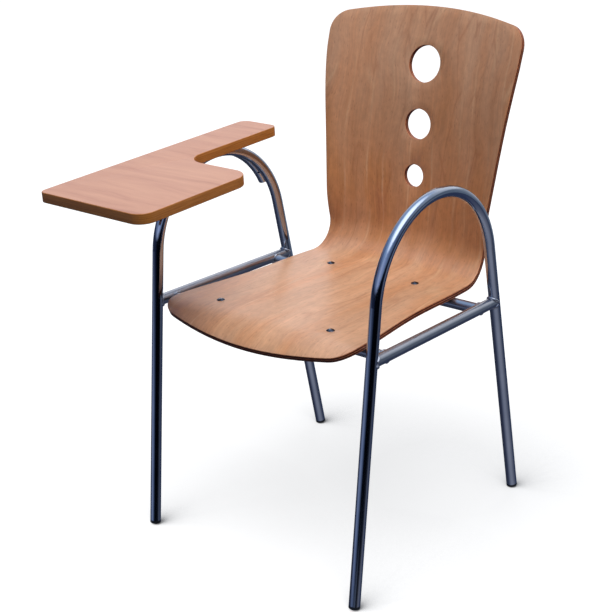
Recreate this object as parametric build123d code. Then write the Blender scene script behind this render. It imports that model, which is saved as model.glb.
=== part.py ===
from build123d import *

import os
from math import asin, atan2, cos, degrees, hypot, radians, sin, tan

# Tablet-arm chair: a bent plywood shell on two arched tube frames, with a writing tablet that folds up.
#
# Axes: +X is the sitter's left, +Y is behind the sitter, +Z is up.  Millimetres.
# Everything is built about the plane midway between the two arches and between their feet,
# and is then moved so that the origin is the centre of the chair's footprint on the floor.

# ---- frame: two arched tubes, their side rails and the two crossbars ----
TUBE_D = 20.0
TUBE_WALL = 1.5
FOOT_SPAN = 494.0            # front foot to rear foot of one arch, on the floor
FOOT_HALF_WIDTH = 238.0      # from the middle of the chair to an arch's foot
ARCH_HEIGHT = 659.5          # tube axis at the top of an arch
ARCH_RADIUS = 165.0          # tube axis round the top of an arch
ARCH_LEAN = 0.65             # degrees that each arch leans outwards
RAIL_FRONT_HEIGHT = 429.3    # rail axis where it meets the front leg
SEAT_SLOPE = 3.3             # degrees that the rails and the seat fall towards the back
FRONT_CROSSBAR_Y = -136.0
REAR_CROSSBAR_Y = 140.5
CROSSBAR_DROP = 4.2          # crossbar axis below the rail axis
WASHER_FLAT_DEPTH = 2.2      # flats pressed under the crossbars for the washers
WASHER_FLAT_LENGTH = 18.0
WELD_BEAD_RADIUS = 2.6
WELD_CLEAR_ANGLE = 18.0      # degrees left unwelded at each side of a rail, where it only grazes the leg
CROSSBAR_WELD_ANGLE = 105.0  # degrees welded to each side of the top of a crossbar

# ---- foot glides ----
GLIDE_HEAD = 9.0             # moulded head below the end of the leg tube
GLIDE_DOME_RADIUS = 14.0
GLIDE_WEAR = 0.4             # how much of the dome is flat on the floor
PLUG_STEM = 22.0             # moulded stem that is pressed into a tube
PLUG_CLEARANCE = 0.05
PLUG_HEAD = 3.0              # head of the plug in the end of the support tube

# ---- plywood shell ----
PLY = 10.0
SEAT_START_Y = -157.5        # where the flat of the seat meets the front curve
FRONT_CURVE_RADIUS = 104.0
FRONT_CURVE_ANGLE = 44.0
SEAT_FLAT = 347.0            # flat of the seat, front to back
BEND_RADIUS = 71.5           # face side of the bend from seat to back
BACK_RAKE = 10.6             # degrees from upright, low on the back
LUMBAR_LENGTH = 195.5
UPPER_BACK_LENGTH = 220.5
UPPER_BACK_TURN = 12.3       # degrees more rake at the top
LOW_HOLLOW_RADIUS = 552.0    # side-to-side hollow of the back, just above the bend
TOP_HOLLOW_RADIUS = 1036.0   # and at the top edge, where it has opened out
FRONT_HALF_WIDTH = 207.5
MID_SEAT_HALF_WIDTH = 188.0
SEAT_REAR_HALF_WIDTH = 183.7
SEAT_REAR_PLACE = 0.92       # how far back along the flat of the seat that width is reached
WAIST_HALF_WIDTH = 178.3
LUMBAR_HALF_WIDTH = 186.0
LUMBAR_PLACE = 0.35          # how far up the lumbar length that width is reached
SHOULDER_HALF_WIDTH = 200.0
TOP_HALF_WIDTH = 212.5
FRONT_BOW = 32.3             # the front edge bows forward in the middle
FRONT_TAPER = 0.12           # how fast the seat narrows again towards its front edge
FRONT_CORNER_RADIUS = 45.0
TOP_BOW = 32.3               # the top edge rises in the middle
TOP_TAPER = 0.10
TOP_CORNER_RADIUS = 44.0
BACK_HOLE_D = [43.0, 57.0, 69.0]
BACK_HOLE_Z = [576.9, 672.7, 779.8]

# ---- seat bolts ----
FRONT_BOLT_HALF_SPACING = 125.0
REAR_BOLT_HALF_SPACING = 98.0
BOLT_D = 6.0
BOLT_CLEARANCE = 0.25        # radial, in the shell and in the crossbars
BOLT_HEAD_D = 15.0
BOLT_HEAD_HEIGHT = 2.8
WASHER_D = 12.0
WASHER_THICKNESS = 1.2
NUT_ACROSS_FLATS = 10.0
NUT_HEIGHT = 5.0
NUT_DOME_RADIUS = 4.6

# ---- writing tablet and its hinge ----
BOARD_THICKNESS = 18.0
BOARD_OUTER_OVERHANG = 11.8  # board edge outside the hinge axis
BOARD_FRONT_Y = -382.3
BOARD_LENGTH = 502.5
BOARD_WIDTH = 245.0
NOTCH_Y = -127.5             # rear edge of the wide part
ARM_WIDTH = 87.0             # the narrow part over the arch
BOARD_EDGE_ROUND = 1.5
OUTER_FRONT_RADIUS = 13.0
INNER_FRONT_RADIUS = 28.0
INNER_REAR_RADIUS = 36.0
NOTCH_RADIUS = 40.0
ARM_INNER_RADIUS = 16.0
ARM_OUTER_RADIUS = 18.0
WELD_GAP = 0.1               # between the arch and the support tube beside it
SUPPORT_END_ANGLE = 65.0     # how far the support tube follows the arch down, from its top
SUPPORT_FRONT_Y = -300.0
SUPPORT_WELDS = [(14.0, 26.0), (44.0, 56.0)]     # degrees down from the top, between arch and support tube
GROOVE_WELD_DEPTH = 4.5      # bead centre below the plane of the two tube axes
DRAIN_HOLE_D = 4.5
DRAIN_HOLE_ANGLE = 55.0
HINGE_Y = [-78.0, -262.0]
HINGE_WIDTH = 30.0
HINGE_PLATE = 1.5
HINGE_REACH = 62.0           # from the hinge axis to the tip of the strap
HINGE_CLEARANCE = 0.05       # radial running clearance on the support tube
HINGE_SCREWS = 3
HINGE_SCREW_PITCH = 15.0
HINGE_TIP_MARGIN = 8.0       # last screw to the tip of the strap
TABLET_LIFT = 90.0           # degrees that the tablet folds up and outwards
STOP_PIN_D = 4.0
STOP_SLOT_CLEARANCE = 0.2
SCREW_D = 4.0
SCREW_LENGTH = 14.0
SCREW_HEAD_D = 8.0
SCREW_HEAD_HEIGHT = 2.2
SCREW_CLEARANCE = 0.05
REST_PAD_LENGTH = 26.0
REST_PAD_WIDTH = 17.2
REST_PAD_CORNER_RADIUS = 3.0
REST_PAD_WRAP = 5.0          # how far the pad's sides reach down the tube
REST_PAD_GAP = 0.1

# ---- clearances and making allowances ----
TOUCH_GAP = 0.02             # between pieces that are welded or pressed together
SHELL_GAP = 0.05             # between the moulded ply and what touches it
HOLLOW_FADE = 50.0           # how far up the back its hollow reaches full depth
FLAT_RADIUS = 1e6            # stands for the flat seat where the hollow fades out
SECTION_SPACING = 16.0       # between the cross-sections of the ply
END_TRIM = 4.0               # trimmed off the middle of each end of the moulding
SIDE_MARGIN = 0.15           # keeps the end cuts off the sides of the shell
END_CUT_DEPTH = 80.0

# ---- worked out from the above ----
TUBE_R = TUBE_D / 2
BORE_R = TUBE_R - TUBE_WALL
ARCH_CENTRE_Z = ARCH_HEIGHT - ARCH_RADIUS
FOOT_TO_CENTRE = hypot(FOOT_SPAN / 2, ARCH_CENTRE_Z)
LEG_ANGLE = degrees(atan2(FOOT_SPAN / 2, ARCH_CENTRE_Z) - asin(ARCH_RADIUS / FOOT_TO_CENTRE))
SUPPORT_OUTSET = TUBE_D + WELD_GAP
UNDER_BOARD = TUBE_R + HINGE_CLEARANCE + HINGE_PLATE
UNDER_SHELL = TUBE_R + SHELL_GAP
WASHER_SEAT = TUBE_R - WASHER_FLAT_DEPTH
LAST_SCREW_X = HINGE_REACH - HINGE_TIP_MARGIN
HINGE_SCREW_X = [LAST_SCREW_X - step * HINGE_SCREW_PITCH for step in range(HINGE_SCREWS)]
LEFT, RIGHT = 1, -1
FRONT, REAR = -1, 1


# ---------------------------------------------------------------- helpers

def arch_plane(side, outset=0.0):
    """The leaning plane of one arch: local x runs to the back, local y up the arch."""
    lean = radians(ARCH_LEAN)
    return Plane(
        origin=(side * (FOOT_HALF_WIDTH + outset), 0, 0),
        x_dir=(0, 1, 0),
        z_dir=(cos(lean), 0, -side * sin(lean)),
    )


def rod(start, end, radius):
    """A solid round bar between two points."""
    start, end = Vector(start), Vector(end)
    section = Plane(origin=start, z_dir=end - start) * Circle(radius)
    return extrude(section, (end - start).length)


def swept(path, radius):
    """A round section swept along a tangent path."""
    section = Plane(origin=path @ 0, z_dir=path % 0) * Circle(radius)
    return sweep(section, path=path)


def tube_along(path):
    """A tube whose bore is open at both ends."""
    return swept(path, TUBE_R) - swept(path, BORE_R)


def weld_bead(branch, main, start_angle, end_angle):
    """A round bead where a branch tube meets a main tube, each given as (point, direction).

    The angles run round the branch tube from the direction square to both tubes.
    """
    angles = (start_angle, (start_angle + end_angle) / 2, end_angle)
    points = [meeting_point(branch, main, angle) for angle in angles]
    return swept(ThreePointArc(*points), WELD_BEAD_RADIUS)


def meeting_point(branch, main, angle):
    """Where one straight line of the branch tube's surface reaches the main tube's surface."""
    (foot, out), (centre, along) = branch, main
    square = along.cross(out).normalized()
    upright = out.cross(square)
    start = foot + (square * cos(radians(angle)) + upright * sin(radians(angle))) * TUBE_R
    across = (start - centre).cross(along)
    slope = out.cross(along)
    middle = across.dot(slope) / slope.dot(slope)
    spread = middle ** 2 - (across.dot(across) - TUBE_R ** 2) / slope.dot(slope)
    return start + out * (max(spread, 0) ** 0.5 - middle)


# ---------------------------------------------------------------- arches and feet

def foot_point(end):
    """Where a leg's axis would reach the floor, in the plane of its arch."""
    return Vector(end * FOOT_SPAN / 2, -GLIDE_WEAR)


def leg_direction(end):
    """Up the leg, in the plane of its arch."""
    return Vector(-end * sin(radians(LEG_ANGLE)), cos(radians(LEG_ANGLE)))


def arch_tangent(end):
    """Where a straight leg runs into the round of the arch."""
    across = Vector(end * cos(radians(LEG_ANGLE)), sin(radians(LEG_ANGLE)))
    return Vector(0, ARCH_CENTRE_Z) + across * ARCH_RADIUS


def leg_point(end, height):
    """The leg's axis at a height, in the plane of its arch."""
    return foot_point(end) + leg_direction(end) * ((height + GLIDE_WEAR) / cos(radians(LEG_ANGLE)))


def arch_path():
    """One arch from tube end to tube end, flat in its own plane."""
    front_end = foot_point(FRONT) + leg_direction(FRONT) * (GLIDE_HEAD + TOUCH_GAP)
    rear_end = foot_point(REAR) + leg_direction(REAR) * (GLIDE_HEAD + TOUCH_GAP)
    front_leg = Line(front_end, arch_tangent(FRONT))
    top = ThreePointArc(arch_tangent(FRONT), (0, ARCH_HEIGHT), arch_tangent(REAR))
    rear_leg = Line(arch_tangent(REAR), rear_end)
    return Wire([front_leg, top, rear_leg])


def arch_frame(side):
    return tube_along(arch_plane(side) * arch_path())


def on_arch(side, point):
    """A point given in the plane of an arch, as a point in the chair."""
    return arch_plane(side).from_local_coords(point)


def plug_stem(head_height):
    """The ribless stem of a moulded plug, above a head that stands on z = 0."""
    return Pos(0, 0, head_height + PLUG_STEM / 2) * Cylinder(BORE_R - PLUG_CLEARANCE, PLUG_STEM)


def foot_glide(side, end):
    """A black moulded glide in the open end of a leg, domed below and worn flat where it stands."""
    head = Pos(0, 0, GLIDE_HEAD / 2) * Cylinder(TUBE_R, GLIDE_HEAD)
    head &= Pos(0, 0, GLIDE_DOME_RADIUS) * (Sphere(GLIDE_DOME_RADIUS) + dome_cylinder())
    foot = on_arch(side, foot_point(end))
    up_leg = on_arch(side, foot_point(end) + leg_direction(end)) - foot
    placed = Plane(origin=foot, x_dir=(1, 0, 0), z_dir=up_leg) * (head + plug_stem(GLIDE_HEAD))
    floor_block = Pos(foot.X, foot.Y, -GLIDE_HEAD) * Box(4 * TUBE_D, 4 * TUBE_D, 2 * GLIDE_HEAD)
    return placed - floor_block


def dome_cylinder():
    """Keeps the whole of a glide's head above the middle of its dome."""
    return Pos(0, 0, GLIDE_DOME_RADIUS) * Cylinder(GLIDE_DOME_RADIUS, 2 * GLIDE_DOME_RADIUS)


# ---------------------------------------------------------------- rails and crossbars

def rail_height(y):
    """Height of the rail axis, measured up the arch, at a distance along the chair."""
    front_y = leg_point(FRONT, RAIL_FRONT_HEIGHT).X
    return RAIL_FRONT_HEIGHT - (y - front_y) * tan(radians(SEAT_SLOPE))


def rail_ends(side):
    """The rail axis from the axis of the front leg to the axis of the rear leg."""
    front = leg_point(FRONT, RAIL_FRONT_HEIGHT)
    slope = tan(radians(SEAT_SLOPE))
    fall = -2 * front.X * slope / (1 - slope * tan(radians(LEG_ANGLE)))
    rear = leg_point(REAR, RAIL_FRONT_HEIGHT - fall)
    return on_arch(side, front), on_arch(side, rear)


def leg_line(side, end):
    """A point on a leg's axis and the direction up it."""
    foot = on_arch(side, foot_point(end))
    return foot, (on_arch(side, arch_tangent(end)) - foot).normalized()


def side_rail(side):
    """A tube coped to both legs of an arch, with its weld beads above and below."""
    front, rear = rail_ends(side)
    rail = rod(front, rear, TUBE_R)
    for end, near, far in ((FRONT, front, rear), (REAR, rear, front)):
        inwards = (far - near).normalized()
        for start in (0, 180):
            angles = (start + WELD_CLEAR_ANGLE, start + 180 - WELD_CLEAR_ANGLE)
            rail += weld_bead((near, inwards), leg_line(side, end), *angles)
    rail -= rod(front, rear, BORE_R)
    for end in (FRONT, REAR):
        rail -= rod(on_arch(side, foot_point(end)), on_arch(side, arch_tangent(end)), TUBE_R + TOUCH_GAP)
    return rail


def crossbar_axis(y):
    """Centre of a crossbar and the direction square to the seat there."""
    slope = radians(SEAT_SLOPE)
    centre = Vector(0, y, rail_height(y) * cos(radians(ARCH_LEAN)) - CROSSBAR_DROP)
    return centre, Vector(0, sin(slope), cos(slope))


def crossbar_half_length(y):
    """From the middle of the chair to the rail's axis."""
    return on_arch(LEFT, Vector(y, rail_height(y))).X


def pressed_bar(y, bolt_x, radius, flat):
    """A bar across the chair with a flat pressed up into its underside at each bolt."""
    centre, up = crossbar_axis(y)
    bar = Rot(0, 90, 0) * Cylinder(radius, 2 * crossbar_half_length(y))
    for x in (-bolt_x, bolt_x):
        bar -= Pos(x, 0, -flat - TUBE_R) * Box(WASHER_FLAT_LENGTH, 2 * TUBE_D, TUBE_D)
    return Plane(origin=centre, x_dir=(1, 0, 0), z_dir=up) * bar


def crossbar(y, bolt_x):
    """A tube coped and welded to both rails, drilled where the shell is bolted down."""
    centre, up = crossbar_axis(y)
    bar = pressed_bar(y, bolt_x, TUBE_R, WASHER_SEAT)
    for side in (LEFT, RIGHT):
        front, rear = rail_ends(side)
        near = centre + Vector(side * crossbar_half_length(y), 0, 0)
        inwards = Vector(-side, 0, 0)
        along = (rear - front).normalized() * side
        bar += weld_bead((near, inwards), (front, along), -CROSSBAR_WELD_ANGLE, CROSSBAR_WELD_ANGLE)
    bar -= pressed_bar(y, bolt_x, BORE_R, WASHER_SEAT - TUBE_WALL)
    for side in (LEFT, RIGHT):
        bar -= rod(*rail_ends(side), TUBE_R + TOUCH_GAP)
        bar -= bolt_hole(centre + Vector(side * bolt_x, 0, 0), up)
    return bar


def bolt_hole(centre, up):
    reach = TUBE_D + PLY
    return rod(centre - up * reach, centre + up * reach, BOLT_D / 2 + BOLT_CLEARANCE)


# ---------------------------------------------------------------- plywood shell

def shell_profile():
    """The face of the shell down its middle, from the front edge over the seat to the top of the back."""
    slope = radians(SEAT_SLOPE)
    seat_back = Vector(cos(slope), -sin(slope))
    seat_up = Vector(sin(slope), cos(slope))
    centre, _ = crossbar_axis(FRONT_CROSSBAR_Y)
    above_bar = Vector(centre.Y, centre.Z) + seat_up * (UNDER_SHELL + PLY)
    seat_start = above_bar + seat_back * ((SEAT_START_Y - above_bar.X) / seat_back.X)
    turn = radians(FRONT_CURVE_ANGLE)
    front_edge = seat_start - seat_back * (FRONT_CURVE_RADIUS * sin(turn))
    front_edge -= seat_up * (FRONT_CURVE_RADIUS * (1 - cos(turn)))
    rise = seat_back.rotate(Axis.Z, FRONT_CURVE_ANGLE)
    front = JernArc(front_edge, rise, FRONT_CURVE_RADIUS, -FRONT_CURVE_ANGLE)
    seat = Line(front @ 1, front @ 1 + seat_back * SEAT_FLAT)
    bend = JernArc(seat @ 1, seat_back, BEND_RADIUS, 90 - BACK_RAKE + SEAT_SLOPE)
    lumbar = Line(bend @ 1, bend @ 1 + (bend % 1) * LUMBAR_LENGTH)
    upper_radius = UPPER_BACK_LENGTH / radians(UPPER_BACK_TURN)
    upper = JernArc(lumbar @ 1, lumbar % 1, upper_radius, -UPPER_BACK_TURN)
    return [Plane.YZ * piece for piece in (front, seat, bend, lumbar, upper)]


def width_curve(profile):
    """Half width of the shell against distance along its profile, as a smooth curve."""
    front, seat, bend, lumbar, upper = [piece.length for piece in profile]
    seat_end = front + seat
    back_start = seat_end + bend
    shoulder = back_start + lumbar
    return Spline(
        (0, FRONT_HALF_WIDTH),
        (front + seat / 2, MID_SEAT_HALF_WIDTH),
        (front + SEAT_REAR_PLACE * seat, SEAT_REAR_HALF_WIDTH),
        (seat_end + bend / 2, WAIST_HALF_WIDTH),
        (back_start + LUMBAR_PLACE * lumbar, LUMBAR_HALF_WIDTH),
        (shoulder, SHOULDER_HALF_WIDTH),
        (shoulder + upper, TOP_HALF_WIDTH),
        tangents=[(1, FRONT_TAPER), (1, -TOP_TAPER)],
    )


def half_width(curve, distance):
    """Reads the width curve at a distance along the profile."""
    crossing = curve.intersect(Line((distance, 0), (distance, 2 * TOP_HALF_WIDTH)))
    return Vector(crossing[0]).Y


def shell_section(place, rear_side, half, hollow_radius):
    """One cross-section of the ply: a band between two arcs, hollow on the face side."""
    face_edge_y = (hollow_radius ** 2 - half ** 2) ** 0.5 - hollow_radius
    rear_edge_y = ((hollow_radius + PLY) ** 2 - half ** 2) ** 0.5 - hollow_radius
    face = ThreePointArc((-half, face_edge_y), (0, 0), (half, face_edge_y))
    rear = ThreePointArc((half, rear_edge_y), (0, PLY), (-half, rear_edge_y))
    band = make_face(face + Line(face @ 1, rear @ 0) + rear + Line(rear @ 1, face @ 0))
    return Plane(origin=place, x_dir=(1, 0, 0), z_dir=rear_side) * band


def share_between(distance, start, end):
    """How far a distance is from start (0) to end (1), held at 0 before and at 1 after."""
    return min(max((distance - start) / (end - start), 0), 1)


def hollow_radius_at(distance, bend_start, bend_end, top):
    """The hollow fades in round the bend, so that the seat is flat, and opens out towards the top."""
    fade = share_between(distance, bend_start, bend_end + HOLLOW_FADE)
    depth = fade * fade * (3 - 2 * fade)
    rise = share_between(distance, bend_end, top)
    curvature = (1 - rise) / LOW_HOLLOW_RADIUS + rise / TOP_HOLLOW_RADIUS
    return 1 / max(depth * curvature, 1 / FLAT_RADIUS)


def seat_shell():
    """Bent ply: lofted through its cross-sections, then trimmed, drilled and bored."""
    profile = shell_profile()
    curve = width_curve(profile)
    bend_start = profile[0].length + profile[1].length
    bend_end = bend_start + profile[2].length
    top = sum(piece.length for piece in profile)
    bands = []
    travelled = 0.0
    for piece in profile:
        steps = round(piece.length / SECTION_SPACING)
        for step in range(steps + (piece is profile[-1])):
            fraction = step / steps
            distance = travelled + piece.length * fraction
            half = half_width(curve, distance)
            hollow = hollow_radius_at(distance, bend_start, bend_end, top)
            bands.append(shell_section(piece @ fraction, piece % fraction, half, hollow))
        travelled += piece.length
    shell = loft(bands)
    shell -= end_waste(profile[0], curve, 0, FRONT_BOW, FRONT_CORNER_RADIUS)
    shell -= end_waste(profile[-1], curve, top, TOP_BOW, TOP_CORNER_RADIUS)
    for y, bolt_x in bolt_rows():
        centre, up = crossbar_axis(y)
        for side in (LEFT, RIGHT):
            shell -= bolt_hole(centre + Vector(side * bolt_x, 0, 0), up)
    for height, diameter in zip(BACK_HOLE_Z, BACK_HOLE_D):
        shell -= back_bore(profile, height, diameter)
    return shell


def end_waste(piece, curve, end_distance, bow, corner):
    """What is cut off an end of the shell, square to the ply: a bowed edge with rounded corners is left."""
    inwards = 1 if end_distance == 0 else -1
    depth = 1.5 * corner
    corner_distance = end_distance + inwards * (END_TRIM + bow)
    corner_half = half_width(curve, corner_distance) + SIDE_MARGIN
    inner_half = half_width(curve, corner_distance + inwards * depth) + SIDE_MARGIN
    bowed_edge = ThreePointArc((-corner_half, 0), (0, bow), (corner_half, 0))
    rest = Polyline((corner_half, 0), (inner_half, -depth), (-inner_half, -depth), (-corner_half, 0))
    kept = make_face(bowed_edge + rest)
    kept = fillet(kept.vertices().sort_by(Axis.Y)[-2:], corner)
    cut_off = Pos(0, corner - depth / 2) * Rectangle(3 * corner_half, 2 * corner + depth)
    fraction = (END_TRIM + bow) / piece.length
    fraction = fraction if inwards > 0 else 1 - fraction
    out = (piece % fraction) * -inwards
    plane = Plane(origin=piece @ fraction, x_dir=(1, 0, 0), z_dir=Vector(1, 0, 0).cross(out))
    return extrude(plane * (cut_off - kept), END_CUT_DEPTH, both=True)


def back_bore(profile, height, diameter):
    """A round hole square through the back at a height."""
    lumbar, upper = profile[3], profile[4]
    piece = lumbar if height < (lumbar @ 1).Z else upper
    fraction = (height - (piece @ 0).Z) / ((piece @ 1).Z - (piece @ 0).Z)
    centre, along = piece @ fraction, piece % fraction
    square = along.cross(Vector(1, 0, 0))
    return rod(centre - square * 3 * PLY, centre + square * 3 * PLY, diameter / 2)


# ---------------------------------------------------------------- seat fasteners

def bolt_rows():
    """Each crossbar's place along the chair and the half spacing of its bolts."""
    return [(FRONT_CROSSBAR_Y, FRONT_BOLT_HALF_SPACING), (REAR_CROSSBAR_Y, REAR_BOLT_HALF_SPACING)]


def at_each_bolt(piece, height):
    """Four copies of a piece on the bolt axes, at a height above the crossbar's axis."""
    copies = []
    for y, bolt_x in bolt_rows():
        centre, up = crossbar_axis(y)
        for side in (LEFT, RIGHT):
            place = centre + Vector(side * bolt_x, 0, 0) + up * height
            copies.append(Plane(origin=place, x_dir=(1, 0, 0), z_dir=up) * piece)
    return copies


def dome(radius, height):
    """A shallow domed head on a flat underside."""
    sphere_r = (radius ** 2 + height ** 2) / (2 * height)
    cap = Pos(0, 0, height - sphere_r) * Sphere(sphere_r)
    return cap & Pos(0, 0, height / 2) * Box(2 * radius, 2 * radius, height)


def seat_bolts():
    """Dome-headed bolts, down through the shell and the crossbars into their nuts."""
    under_head = UNDER_SHELL + PLY + SHELL_GAP
    shank_length = under_head + WASHER_SEAT + WASHER_THICKNESS + NUT_HEIGHT
    shank = Pos(0, 0, -shank_length / 2) * Cylinder(BOLT_D / 2, shank_length)
    return at_each_bolt(dome(BOLT_HEAD_D / 2, BOLT_HEAD_HEIGHT) + shank, under_head)


def seat_washers():
    hole = Cylinder(BOLT_D / 2 + BOLT_CLEARANCE, WASHER_THICKNESS)
    ring = Cylinder(WASHER_D / 2, WASHER_THICKNESS) - hole
    return at_each_bolt(ring, -WASHER_SEAT - WASHER_THICKNESS / 2)


def seat_nuts():
    """Domed nuts, closed below, under the crossbars."""
    hexagon = extrude(RegularPolygon(NUT_ACROSS_FLATS / 2, 6, major_radius=False), -NUT_HEIGHT)
    below = Pos(0, 0, -TUBE_R / 2) * Box(TUBE_D, TUBE_D, TUBE_R)
    cap = Pos(0, 0, -NUT_HEIGHT) * (Sphere(NUT_DOME_RADIUS) & below)
    hole = Pos(0, 0, -NUT_HEIGHT / 2) * Cylinder(BOLT_D / 2, NUT_HEIGHT)
    return at_each_bolt(hexagon + cap - hole, -WASHER_SEAT - WASHER_THICKNESS)


# ---------------------------------------------------------------- tablet support and hinge

def hinge_axis_point(y=0.0):
    """The straight front part of the support tube is the tablet's hinge pin."""
    return arch_plane(RIGHT, SUPPORT_OUTSET).from_local_coords(Vector(y, ARCH_HEIGHT))


def support_tube():
    """Bent like the arch and welded beside it, then straight forward under the board."""
    end = radians(SUPPORT_END_ANGLE)
    low = Vector(ARCH_RADIUS * sin(end), ARCH_CENTRE_Z + ARCH_RADIUS * cos(end))
    mid = Vector(ARCH_RADIUS * sin(end / 2), ARCH_CENTRE_Z + ARCH_RADIUS * cos(end / 2))
    round_part = ThreePointArc(low, mid, (0, ARCH_HEIGHT))
    straight = Line((0, ARCH_HEIGHT), (SUPPORT_FRONT_Y, ARCH_HEIGHT))
    plane = arch_plane(RIGHT, SUPPORT_OUTSET)
    tube = tube_along(plane * Wire([round_part, straight]))
    for start, finish in SUPPORT_WELDS:
        tube += groove_weld(start, finish)
    tube -= swept(arch_plane(RIGHT) * arch_path(), TUBE_R + TOUCH_GAP)
    turn = radians(DRAIN_HOLE_ANGLE)
    outwards = Vector(sin(turn), cos(turn))
    axis_point = plane.from_local_coords(Vector(0, ARCH_CENTRE_Z) + outwards * ARCH_RADIUS)
    to_centre = (plane.from_local_coords(Vector(0, ARCH_CENTRE_Z)) - axis_point).normalized()
    slant = (to_centre + Vector(1, 0, 0)).normalized()
    tube -= rod(axis_point, axis_point + slant * TUBE_D, DRAIN_HOLE_D / 2)
    for y in HINGE_Y:
        centre = hinge_axis_point(y)
        tube -= rod(centre, centre - Vector(0, 0, TUBE_D), STOP_PIN_D / 2)
    return tube


def groove_weld(start, finish):
    """A bead in the groove between the arch and the support tube, on the hollow side of the bend."""
    radius = ARCH_RADIUS - GROOVE_WELD_DEPTH
    points = []
    for angle in (start, (start + finish) / 2, finish):
        points.append((radius * sin(radians(angle)), ARCH_CENTRE_Z + radius * cos(radians(angle))))
    return swept(arch_plane(RIGHT, SUPPORT_OUTSET / 2) * ThreePointArc(*points), WELD_BEAD_RADIUS)


def support_tube_plug():
    """A moulded plug that closes the front end of the support tube."""
    head = Pos(0, 0, PLUG_HEAD / 2) * Cylinder(TUBE_R, PLUG_HEAD)
    head = fillet(head.edges().group_by(Axis.Z)[0], PLUG_HEAD / 2)
    centre = hinge_axis_point(SUPPORT_FRONT_Y) - Vector(0, PLUG_HEAD + TOUCH_GAP, 0)
    return Plane(origin=centre, x_dir=(1, 0, 0), z_dir=(0, 1, 0)) * (head + plug_stem(PLUG_HEAD))


def hinge_stop_pins():
    """A pin in the underside of the support tube at each hinge, standing in the hinge's slot."""
    pins = []
    for y in HINGE_Y:
        centre = hinge_axis_point(y)
        top = centre - Vector(0, 0, BORE_R - TUBE_WALL)
        pins.append(rod(top, centre - Vector(0, 0, UNDER_BOARD - HINGE_CLEARANCE), STOP_PIN_D / 2))
    return pins


def tablet_hinge(y):
    """A steel strap under the board, rolled at its outer end into an eye round the support tube."""
    bore = TUBE_R + HINGE_CLEARANCE
    eye = Rot(90, 0, 0) * Cylinder(UNDER_BOARD, HINGE_WIDTH)
    strap_z = bore + HINGE_PLATE / 2
    strap = Pos(HINGE_REACH / 2, 0, strap_z) * Box(HINGE_REACH, HINGE_WIDTH, HINGE_PLATE)
    tip_corners = strap.edges().filter_by(Axis.Z).group_by(Axis.X)[-1]
    strap = fillet(tip_corners, HINGE_WIDTH / 4)
    leaf = eye + strap - Rot(90, 0, 0) * Cylinder(bore, 2 * HINGE_WIDTH)
    leaf -= stop_slot()
    for x in HINGE_SCREW_X:
        leaf -= Pos(x, 0, strap_z) * Cylinder(SCREW_D / 2 + SCREW_CLEARANCE, 2 * HINGE_PLATE)
    return Pos(hinge_axis_point(y)) * leaf


def stop_slot():
    """The slot round the eye that the stop pin stands in: it stops the tablet when it is folded up."""
    pin_half_angle = degrees(asin((STOP_PIN_D / 2 + STOP_SLOT_CLEARANCE) / TUBE_R))
    start = 270 - TABLET_LIFT - pin_half_angle
    sweep_angle = TABLET_LIFT + 2 * pin_half_angle
    reach = 2 * TUBE_R
    arc = CenterArc((0, 0), reach, start, sweep_angle)
    wedge = make_face(arc + Line(arc @ 1, (0, 0)) + Line((0, 0), arc @ 0))
    return extrude(Plane.XZ * wedge, STOP_PIN_D / 2 + STOP_SLOT_CLEARANCE, both=True)


def tablet_screws():
    """Pan-head wood screws, up through the straps into the board."""
    screws = []
    head_top = UNDER_BOARD - HINGE_PLATE
    head = Rot(180, 0, 0) * dome(SCREW_HEAD_D / 2, SCREW_HEAD_HEIGHT)
    length = HINGE_PLATE + SCREW_LENGTH
    screw = head + Pos(0, 0, length / 2) * Cylinder(SCREW_D / 2, length)
    for y in HINGE_Y:
        for x in HINGE_SCREW_X:
            screws.append(Pos(hinge_axis_point(y) + Vector(x, 0, head_top)) * screw)
    return screws


def tablet_board():
    """An L-shaped veneered board: the arm over the arch and the wide part to write on."""
    axis = hinge_axis_point()
    outer = axis.X - BOARD_OUTER_OVERHANG
    rear = BOARD_FRONT_Y + BOARD_LENGTH
    corners = [
        ((outer, BOARD_FRONT_Y), OUTER_FRONT_RADIUS),
        ((outer + BOARD_WIDTH, BOARD_FRONT_Y), INNER_FRONT_RADIUS),
        ((outer + BOARD_WIDTH, NOTCH_Y), INNER_REAR_RADIUS),
        ((outer + ARM_WIDTH, NOTCH_Y), NOTCH_RADIUS),
        ((outer + ARM_WIDTH, rear), ARM_INNER_RADIUS),
        ((outer, rear), ARM_OUTER_RADIUS),
    ]
    points = [point for point, _ in corners]
    radii = [radius for _, radius in corners]
    board = extrude(make_face(FilletPolyline(*points, radius=radii, close=True)), BOARD_THICKNESS)
    rims = board.faces().filter_by(Axis.Z).edges()
    board = fillet(rims, BOARD_EDGE_ROUND)
    board = Pos(0, 0, axis.Z + UNDER_BOARD) * board
    for y in HINGE_Y:
        for x in HINGE_SCREW_X:
            mouth = hinge_axis_point(y) + Vector(x, 0, 0)
            tip = mouth + Vector(0, 0, UNDER_BOARD + SCREW_LENGTH)
            board -= rod(mouth, tip, SCREW_D / 2 + SCREW_CLEARANCE)
    return board


def tablet_rest_pad():
    """A soft pad stuck on top of the right arch, which the board lies on."""
    top_of_arch = on_arch(RIGHT, Vector(0, ARCH_HEIGHT))
    top = hinge_axis_point().Z + UNDER_BOARD - REST_PAD_GAP
    bottom = top_of_arch.Z + REST_PAD_WRAP
    block = Box(REST_PAD_WIDTH, REST_PAD_LENGTH, top - bottom)
    block = fillet(block.edges().filter_by(Axis.Z), REST_PAD_CORNER_RADIUS)
    block = Pos(top_of_arch.X, 0, (top + bottom) / 2) * block
    return block - swept(arch_plane(RIGHT) * arch_path(), TUBE_R)


# ---------------------------------------------------------------- assembly

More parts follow.
